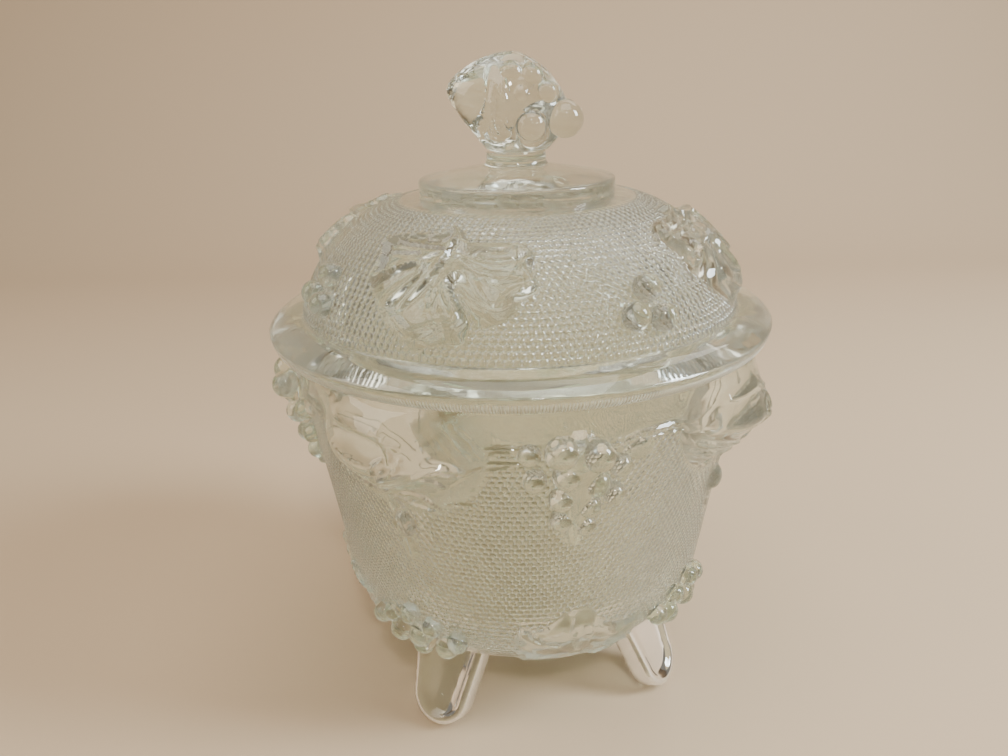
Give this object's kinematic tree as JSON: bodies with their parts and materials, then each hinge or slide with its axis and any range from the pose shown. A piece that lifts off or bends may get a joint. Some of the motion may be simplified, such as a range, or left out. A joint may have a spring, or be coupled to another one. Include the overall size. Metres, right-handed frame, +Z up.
{
  "type": "covered dish",
  "caption": "Footed round dish of clear pressed glass with a loose domed lid, a grape-bunch knob and grape-and-leaf relief.",
  "frame": {"origin": "on the table under the dish's axis, midway between the feet", "axes": "+Z up along the dish's axis, -Y the front between two feet, feet on the diagonals of X and Y"},
  "size_m": [0.1294, 0.1294, 0.1657],
  "materials": {
    "clear_glass": "clear pressed glass with a faint grey-green tint, smooth leaves, grapes and rims, finely pebbled ground"
  },
  "bodies": {
    "dish": {"dish": "clear_glass"},
    "lid": {"lid": "clear_glass"}
  },
  "joints": [
    {"name": "lid_lift", "type": "slide", "parent": "dish", "child": "lid", "axis": [0, 0, 1], "range_m": [0, 0.08]}
  ]
}
